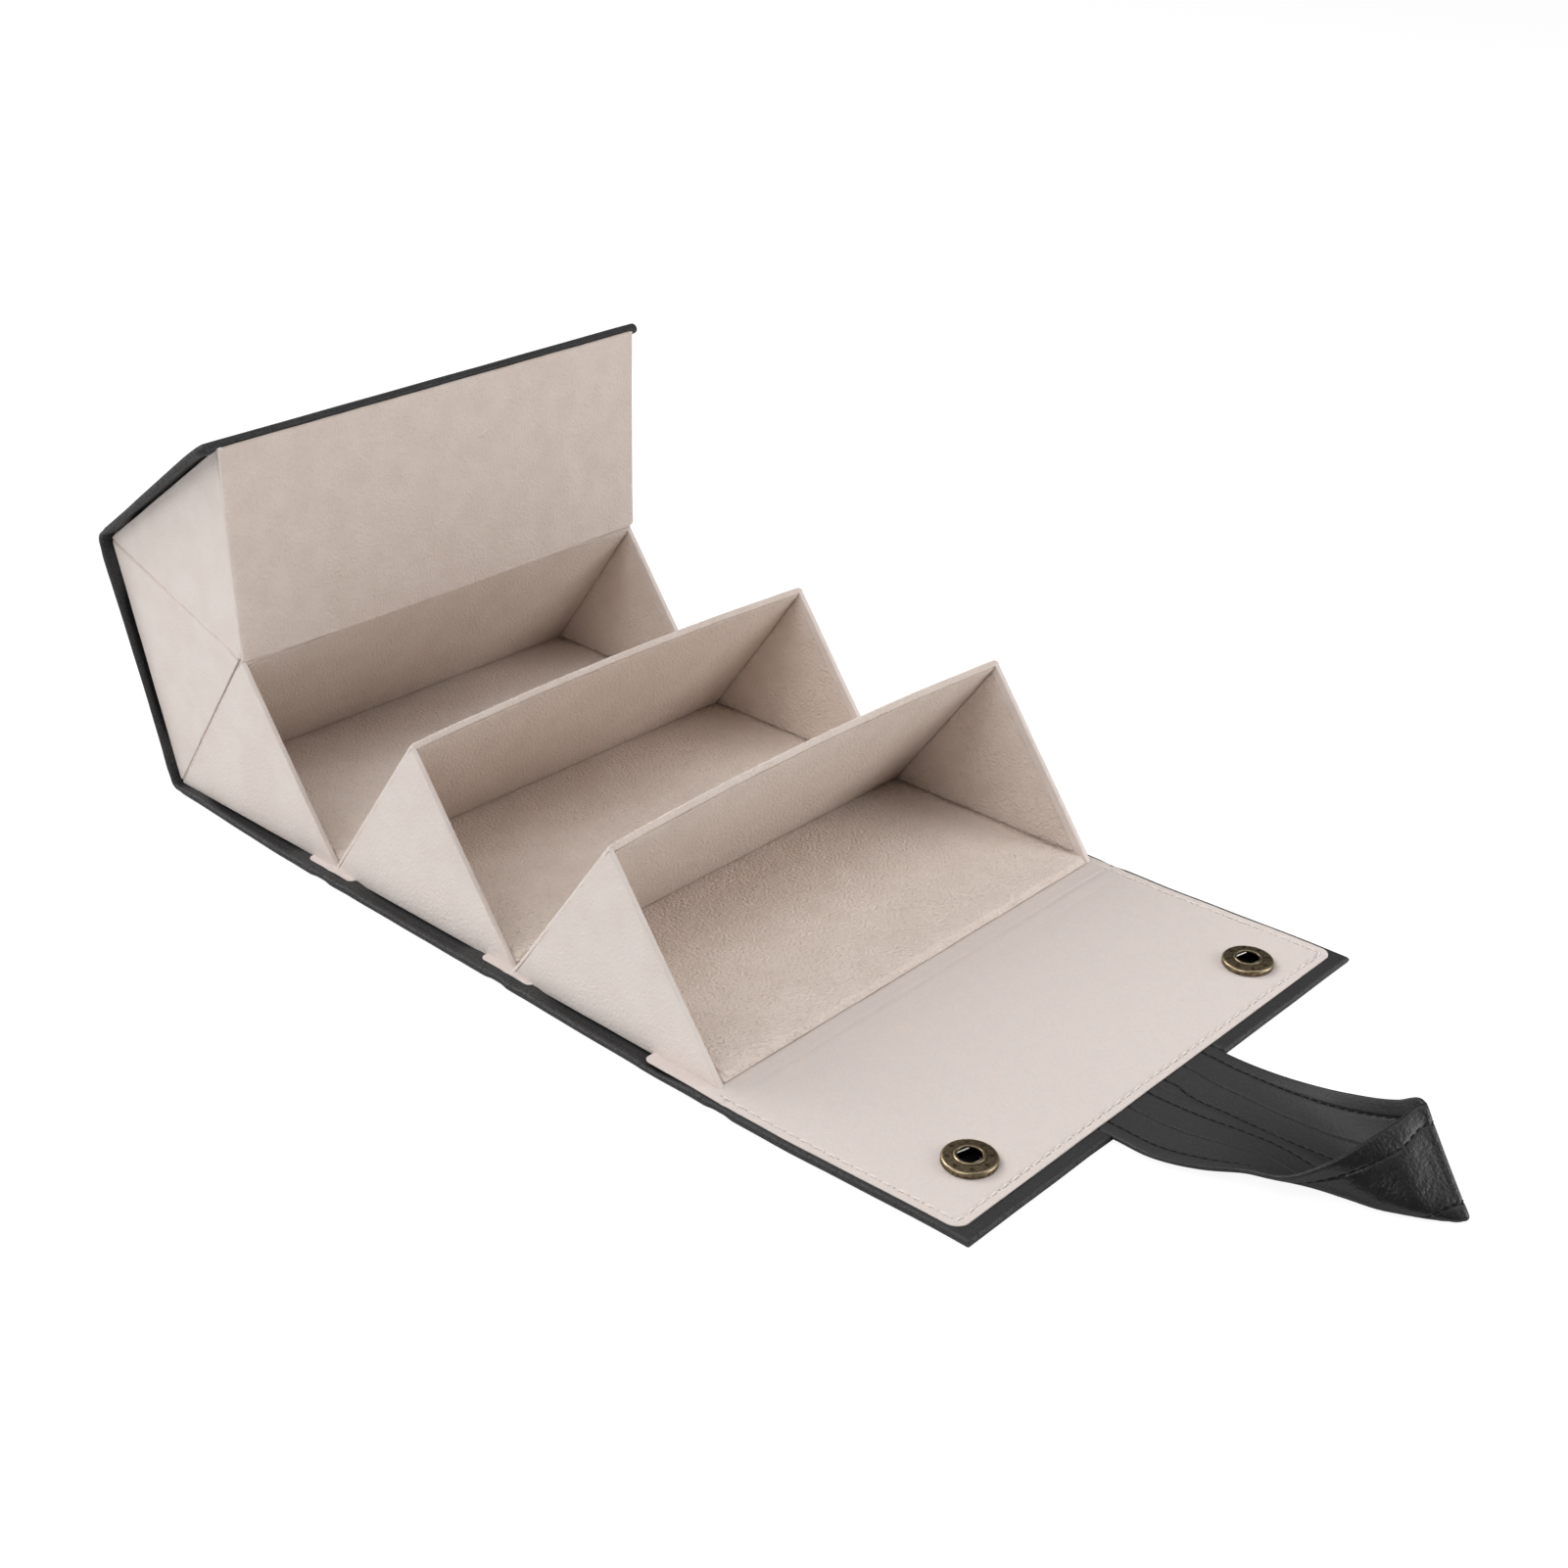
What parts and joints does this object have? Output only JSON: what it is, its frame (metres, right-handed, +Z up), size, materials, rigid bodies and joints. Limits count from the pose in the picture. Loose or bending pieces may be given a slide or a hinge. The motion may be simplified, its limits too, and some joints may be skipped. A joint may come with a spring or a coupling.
{
  "type": "roll-up sunglasses storage box",
  "caption": "Roll-up case of five triangular trays for sunglasses on one folding leather cover, with snap flap and carry strap.",
  "frame": {"origin": "centre of the underside of the cover of tray 3, on which the half-open box stands", "axes": "+X along the row of trays towards the flap and strap, +Y along the trays, +Z up"},
  "size_m": [0.4495, 0.18, 0.1319],
  "materials": {
    "cover_leather": "charcoal pebbled imitation leather, satin",
    "strap_leather": "charcoal grained imitation leather, satin, black stitching",
    "tray_leatherette": "pale beige fine-grained leatherette over board, matt",
    "lining": "pale beige nubuck-like lining sheet, matt",
    "greyboard": "pressed grey bookbinder's board",
    "antique_brass": "antique brass plating, worn on the edges",
    "spring_steel": "drawn steel wire and turned posts"
  },
  "bodies": {
    "tray_3": {"cover_panel_3": "cover_leather", "cover_board_3": "greyboard", "hinge_strip_3": "lining", "tray_base_3": "tray_leatherette", "back_wall_3": "tray_leatherette", "near_end_wall_3": "tray_leatherette", "far_end_wall_3": "tray_leatherette", "tray_liner_3": "lining", "crease_2_3": "cover_leather", "crease_3_4": "cover_leather"},
    "tray_4": {"cover_panel_4": "cover_leather", "cover_board_4": "greyboard", "hinge_strip_4": "lining", "tray_base_4": "tray_leatherette", "back_wall_4": "tray_leatherette", "near_end_wall_4": "tray_leatherette", "far_end_wall_4": "tray_leatherette", "tray_liner_4": "lining", "crease_4_5": "cover_leather"},
    "tray_5": {"cover_panel_5": "cover_leather", "cover_board_5": "greyboard", "hinge_strip_5": "lining", "tray_base_5": "tray_leatherette", "back_wall_5": "tray_leatherette", "near_end_wall_5": "tray_leatherette", "far_end_wall_5": "tray_leatherette", "tray_liner_5": "lining", "snap_studs": "antique_brass", "stud_posts": "spring_steel"},
    "tray_2": {"cover_panel_2": "cover_leather", "cover_board_2": "greyboard", "hinge_strip_2": "lining", "tray_base_2": "tray_leatherette", "back_wall_2": "tray_leatherette", "near_end_wall_2": "tray_leatherette", "far_end_wall_2": "tray_leatherette", "tray_liner_2": "lining", "crease_1_2": "cover_leather"},
    "tray_1": {"cover_panel_1": "cover_leather", "cover_board_1": "greyboard", "hinge_strip_1": "lining", "tray_base_1": "tray_leatherette", "back_wall_1": "tray_leatherette", "near_end_wall_1": "tray_leatherette", "far_end_wall_1": "tray_leatherette", "tray_liner_1": "lining", "flap_crease": "cover_leather"},
    "flap": {"flap_cover": "cover_leather", "flap_board": "greyboard", "flap_lining": "lining", "snap_caps": "antique_brass", "snap_sockets": "antique_brass", "snap_springs": "spring_steel", "strap_tails": "strap_leather"},
    "strap": {"carry_strap": "strap_leather"}
  },
  "joints": [
    {"name": "crease_3_4_fold", "type": "hinge", "parent": "tray_3", "child": "tray_4", "pos_m": [-0.04175, 0, 0.0026], "axis": [0, 1, 0], "range_deg": [-72, 0]},
    {"name": "crease_4_5_fold", "type": "hinge", "parent": "tray_4", "child": "tray_5", "pos_m": [-0.06755, 0, 0.08201], "axis": [0, 1, 0], "range_deg": [-72, 0]},
    {"name": "crease_2_3_fold", "type": "hinge", "parent": "tray_3", "child": "tray_2", "pos_m": [0.04175, 0, 0.0026], "axis": [0, -1, 0], "range_deg": [0, 72]},
    {"name": "crease_1_2_fold", "type": "hinge", "parent": "tray_2", "child": "tray_1", "pos_m": [0.12525, 0, 0.0026], "axis": [0, -1, 0], "range_deg": [0, 72]},
    {"name": "flap_fold", "type": "hinge", "parent": "tray_1", "child": "flap", "pos_m": [0.21485, 0, 0.0026], "axis": [0, -1, 0], "range_deg": [0, 72]},
    {"name": "strap_bend", "type": "hinge", "parent": "flap", "child": "strap", "pos_m": [0.29746, 0, 0.0016], "axis": [0, -1, 0], "range_deg": [0, 45]}
  ]
}
